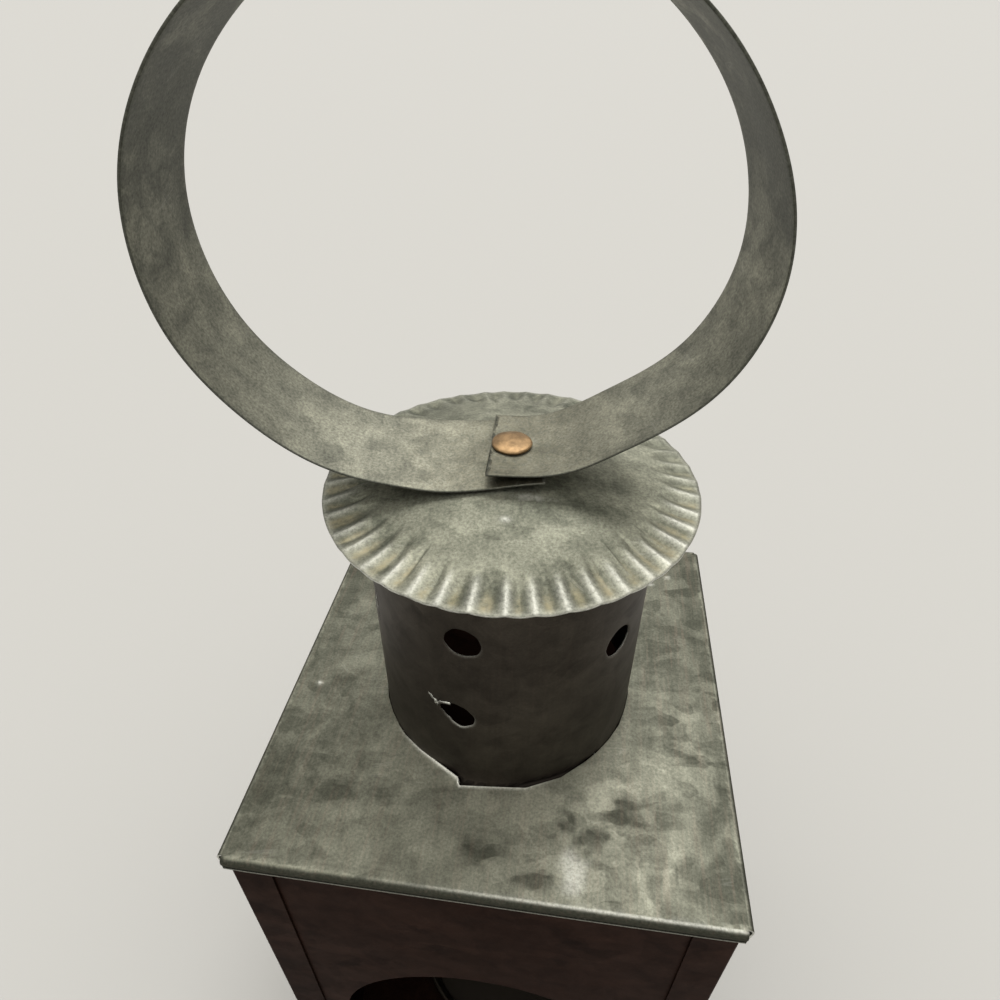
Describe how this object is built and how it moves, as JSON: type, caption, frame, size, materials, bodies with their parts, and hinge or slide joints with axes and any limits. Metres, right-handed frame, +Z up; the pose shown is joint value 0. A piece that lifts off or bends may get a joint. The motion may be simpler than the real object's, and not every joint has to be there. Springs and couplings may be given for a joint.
{
  "type": "punched tin lantern",
  "caption": "Square folded tin candle lantern with an arched front opening, punched sides, a vented chimney under a crimped cap, and a ring handle that turns on its rivet.",
  "frame": {"origin": "middle of the base's underside, on the surface that the lantern stands on", "axes": "+X to the lantern's right as seen from the front, -Y towards the front with the arched opening, +Z up"},
  "size_m": [0.1363, 0.1334, 0.3932],
  "materials": {
    "tin_body": "dark brown-grey aged tinplate",
    "tin_roof": "dull grey tinplate with a blotchy patina",
    "tin_chimney": "dark brown-grey aged tinplate",
    "tin_cap": "grey-olive tinplate with pale worn ridges",
    "tin_strap": "dull grey-green tinplate, finely speckled",
    "tin_inside": "dull tinplate",
    "copper": "dull aged copper"
  },
  "bodies": {
    "lantern": {"base_pan": "tin_body", "left_side": "tin_body", "right_side": "tin_body", "back_panel": "tin_body", "front_panel": "tin_body", "roof_plate": "tin_roof", "chimney": "tin_chimney", "cap": "tin_cap", "drip_pan": "tin_inside", "candle_socket": "tin_inside"},
    "handle": {"handle_strap": "tin_strap", "handle_rivet": "copper", "rivet_burr": "copper"}
  },
  "joints": [
    {"name": "handle_swivel", "type": "hinge", "parent": "lantern", "child": "handle", "pos_m": [0, 0, 0.2924], "axis": [0, 0, 1], "continuous": true}
  ]
}
